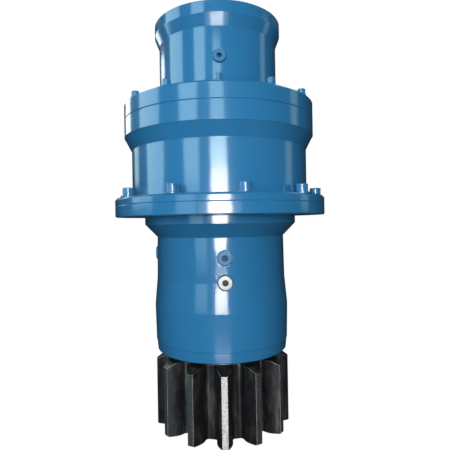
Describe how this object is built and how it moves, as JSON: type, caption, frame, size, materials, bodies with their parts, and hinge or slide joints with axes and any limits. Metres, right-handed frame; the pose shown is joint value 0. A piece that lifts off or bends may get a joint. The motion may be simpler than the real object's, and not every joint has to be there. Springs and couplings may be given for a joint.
{
  "type": "industrial gearbox",
  "caption": "Vertical two-stage planetary slewing gearbox with a round mounting flange, a brake housing under the motor face and a toothed output pinion below.",
  "frame": {"origin": "centre of the mounting face, the underside of the mounting flange, on the gearbox axis", "axes": "+Z along the gearbox axis towards the motor; the output pinion is at -Z; the plugged front faces -Y"},
  "size_m": [0.3528, 0.3526, 0.6685],
  "materials": {
    "blue_paint": "gloss enamel over castings and their painted screws",
    "blackened_steel": "blackened, oiled forging with bright worn edges",
    "bright_steel": "zinc-plated",
    "machined_steel": "turned and oiled",
    "gear_steel": "ground, case-hardened",
    "bearing_steel": "ground and polished",
    "pressed_steel": "pressed sheet",
    "cast_steel": "cast and machined",
    "spring_steel": "drawn wire",
    "bronze": "turned bearing bronze",
    "sintered_bronze": "sintered friction lining on steel",
    "nitrile_rubber": "moulded"
  },
  "bodies": {
    "housing": {"brake_port_plug": "blue_paint", "brake_springs": "spring_steel", "brake_steel_discs": "gear_steel", "case_joint_o_ring": "nitrile_rubber", "case_screw_washers": "blue_paint", "case_screws": "blue_paint", "cover_joint_o_ring": "nitrile_rubber", "cover_screw_washers": "blue_paint", "cover_screws": "blue_paint", "drain_plug_sealing_ring": "bright_steel", "gear_case": "blue_paint", "grease_plug": "blue_paint", "input_bearing_outer_ring": "bearing_steel", "input_ring_gear": "gear_steel", "lower_bearing_outer_ring": "bearing_steel", "motor_adapter": "blue_paint", "motor_face_o_ring": "nitrile_rubber", "motor_flange_plate": "machined_steel", "motor_plate_screws": "bright_steel", "oil_drain_plug": "bright_steel", "oil_level_plug": "blue_paint", "output_ring_gear": "gear_steel", "output_shaft_seal": "nitrile_rubber", "pinion_housing": "blue_paint", "plug_sealing_rings": "blue_paint", "seal_garter_spring": "spring_steel", "upper_bearing_outer_ring": "bearing_steel"},
    "output_shaft": {"output_pinion_shaft": "blackened_steel", "seal_wear_sleeve": "gear_steel", "bearing_locknut": "gear_steel", "output_carrier": "cast_steel", "output_planet_pins": "gear_steel", "lower_bearing_inner_ring": "bearing_steel", "upper_bearing_inner_ring": "bearing_steel"},
    "lower_roller_set": {"lower_bearing_rollers": "bearing_steel", "lower_bearing_cage": "pressed_steel"},
    "upper_roller_set": {"upper_bearing_rollers": "bearing_steel", "upper_bearing_cage": "pressed_steel"},
    "intermediate_shaft": {"input_carrier": "cast_steel", "input_planet_pins": "gear_steel", "output_sun_gear": "gear_steel"},
    "input_shaft": {"input_sun_shaft": "gear_steel", "input_coupling": "gear_steel", "brake_friction_discs": "sintered_bronze", "input_bearing_inner_ring": "bearing_steel"},
    "input_ball_set": {"input_bearing_balls": "bearing_steel"},
    "piston": {"brake_piston": "cast_steel", "piston_seals": "nitrile_rubber"},
    "output_planet_gear_1": {"output_planet_1": "gear_steel", "output_planet_bush_1": "bronze"},
    "output_planet_gear_2": {"output_planet_2": "gear_steel", "output_planet_bush_2": "bronze"},
    "output_planet_gear_3": {"output_planet_3": "gear_steel", "output_planet_bush_3": "bronze"},
    "input_planet_gear_1": {"input_planet_1": "gear_steel", "input_planet_bush_1": "bronze"},
    "input_planet_gear_2": {"input_planet_2": "gear_steel", "input_planet_bush_2": "bronze"},
    "input_planet_gear_3": {"input_planet_3": "gear_steel", "input_planet_bush_3": "bronze"}
  },
  "joints": [
    {"name": "output_spin", "type": "hinge", "parent": "housing", "child": "output_shaft", "pos_m": [0, 0, 0], "axis": [0, 0, 1], "continuous": true},
    {"name": "lower_roller_set_spin", "type": "hinge", "parent": "housing", "child": "lower_roller_set", "pos_m": [0, 0, 0], "axis": [0, 0, 1], "continuous": true},
    {"name": "upper_roller_set_spin", "type": "hinge", "parent": "housing", "child": "upper_roller_set", "pos_m": [0, 0, 0], "axis": [0, 0, 1], "continuous": true},
    {"name": "output_planet_1_spin", "type": "hinge", "parent": "output_shaft", "child": "output_planet_gear_1", "pos_m": [0.078, 0, 0], "axis": [0, 0, 1], "continuous": true},
    {"name": "output_planet_2_spin", "type": "hinge", "parent": "output_shaft", "child": "output_planet_gear_2", "pos_m": [-0.039, 0.06755, 0], "axis": [0, 0, 1], "continuous": true},
    {"name": "output_planet_3_spin", "type": "hinge", "parent": "output_shaft", "child": "output_planet_gear_3", "pos_m": [-0.039, -0.06755, 0], "axis": [0, 0, 1], "continuous": true},
    {"name": "intermediate_spin", "type": "hinge", "parent": "housing", "child": "intermediate_shaft", "pos_m": [0, 0, 0], "axis": [0, 0, 1], "continuous": true},
    {"name": "input_planet_1_spin", "type": "hinge", "parent": "intermediate_shaft", "child": "input_planet_gear_1", "pos_m": [0.072, 0, 0], "axis": [0, 0, 1], "continuous": true},
    {"name": "input_planet_2_spin", "type": "hinge", "parent": "intermediate_shaft", "child": "input_planet_gear_2", "pos_m": [-0.036, 0.06235, 0], "axis": [0, 0, 1], "continuous": true},
    {"name": "input_planet_3_spin", "type": "hinge", "parent": "intermediate_shaft", "child": "input_planet_gear_3", "pos_m": [-0.036, -0.06235, 0], "axis": [0, 0, 1], "continuous": true},
    {"name": "input_spin", "type": "hinge", "parent": "housing", "child": "input_shaft", "pos_m": [0, 0, 0], "axis": [0, 0, 1], "continuous": true},
    {"name": "input_ball_set_spin", "type": "hinge", "parent": "housing", "child": "input_ball_set", "pos_m": [0, 0, 0], "axis": [0, 0, 1], "continuous": true},
    {"name": "brake_release", "type": "slide", "parent": "housing", "child": "piston", "axis": [0, 0, 1], "range_m": [0, 0.002], "stiffness_N_per_m": 20000, "springref_m": -0.001, "deforming": ["brake_springs"]}
  ],
  "couplings": [
    {"joint": "lower_roller_set_spin", "follows": "output_spin", "ratio": 0.436},
    {"joint": "upper_roller_set_spin", "follows": "output_spin", "ratio": 0.437},
    {"joint": "output_planet_1_spin", "follows": "output_spin", "ratio": -2.8571},
    {"joint": "output_planet_2_spin", "follows": "output_spin", "ratio": -2.8571},
    {"joint": "output_planet_3_spin", "follows": "output_spin", "ratio": -2.8571},
    {"joint": "intermediate_spin", "follows": "output_spin", "ratio": 4.3333},
    {"joint": "input_planet_1_spin", "follows": "output_spin", "ratio": -11.267},
    {"joint": "input_planet_2_spin", "follows": "output_spin", "ratio": -11.267},
    {"joint": "input_planet_3_spin", "follows": "output_spin", "ratio": -11.267},
    {"joint": "input_spin", "follows": "output_spin", "ratio": 23.111},
    {"joint": "input_ball_set_spin", "follows": "output_spin", "ratio": 9.5843}
  ]
}
